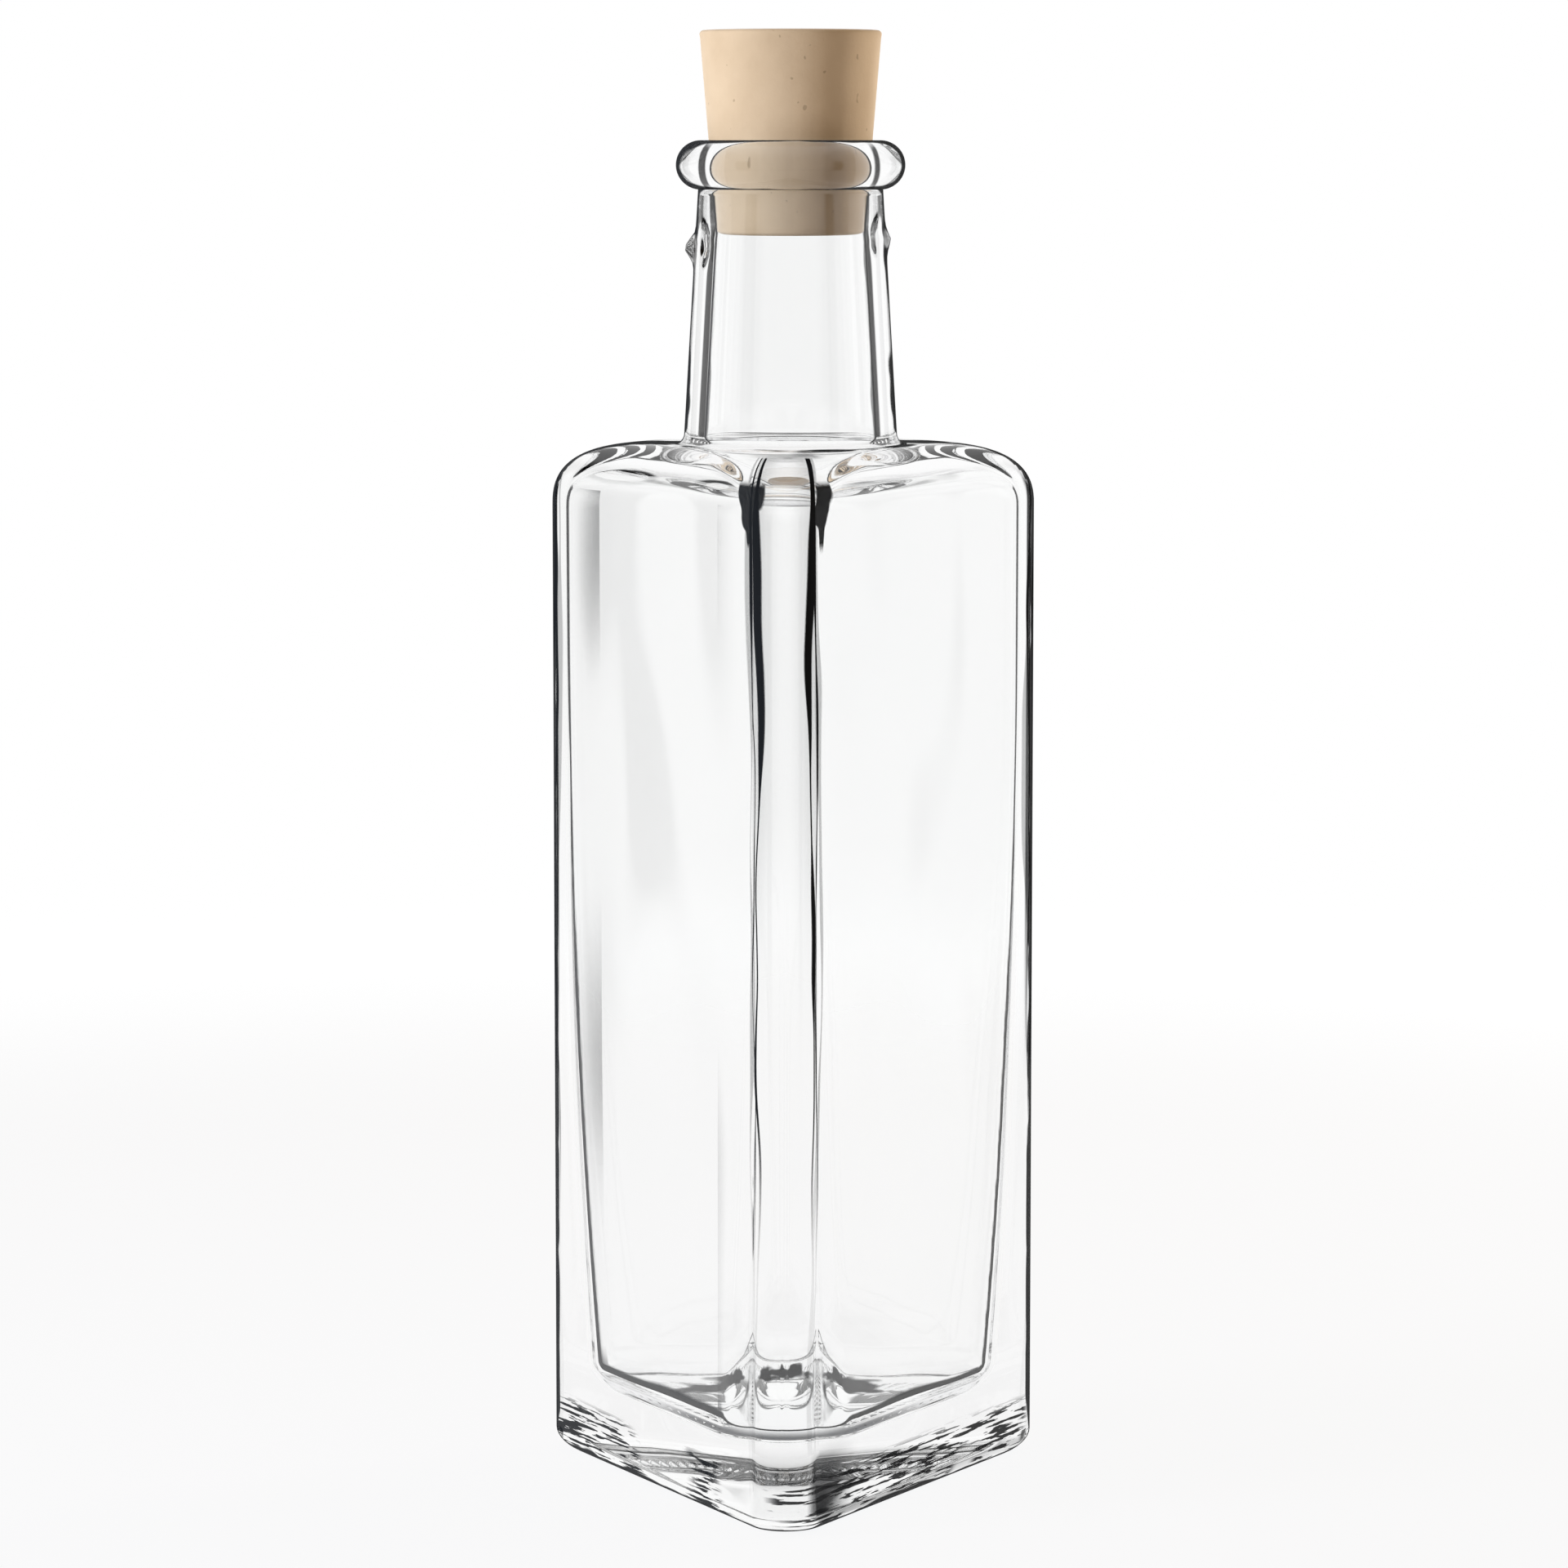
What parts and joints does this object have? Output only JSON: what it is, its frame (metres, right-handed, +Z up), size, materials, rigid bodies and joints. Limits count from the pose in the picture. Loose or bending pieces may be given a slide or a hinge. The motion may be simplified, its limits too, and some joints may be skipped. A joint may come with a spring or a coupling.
{
  "type": "triangular glass bottle",
  "caption": "Tall three-sided clear glass bottle with a heavy base, a round neck with a rolled lip and a tapered stopper that pulls out.",
  "frame": {"origin": "middle of the bounding box, on the plane the bottle stands on; the neck's axis stands 7.45 mm behind it", "axes": "+Z up along the neck, -Y towards the upright edge that faces the camera, +Y out of the flat back face"},
  "size_m": [0.0604, 0.0536, 0.1793],
  "materials": {
    "glass": "clear, fire polished",
    "stopper": "smooth, matt, with a few fine dark specks"
  },
  "bodies": {
    "bottle": {"bottle": "glass"},
    "stopper": {"stopper": "stopper"}
  },
  "joints": [
    {"name": "stopper_pull", "type": "slide", "parent": "bottle", "child": "stopper", "axis": [0, 0, 1], "range_m": [0, 0.03]}
  ]
}
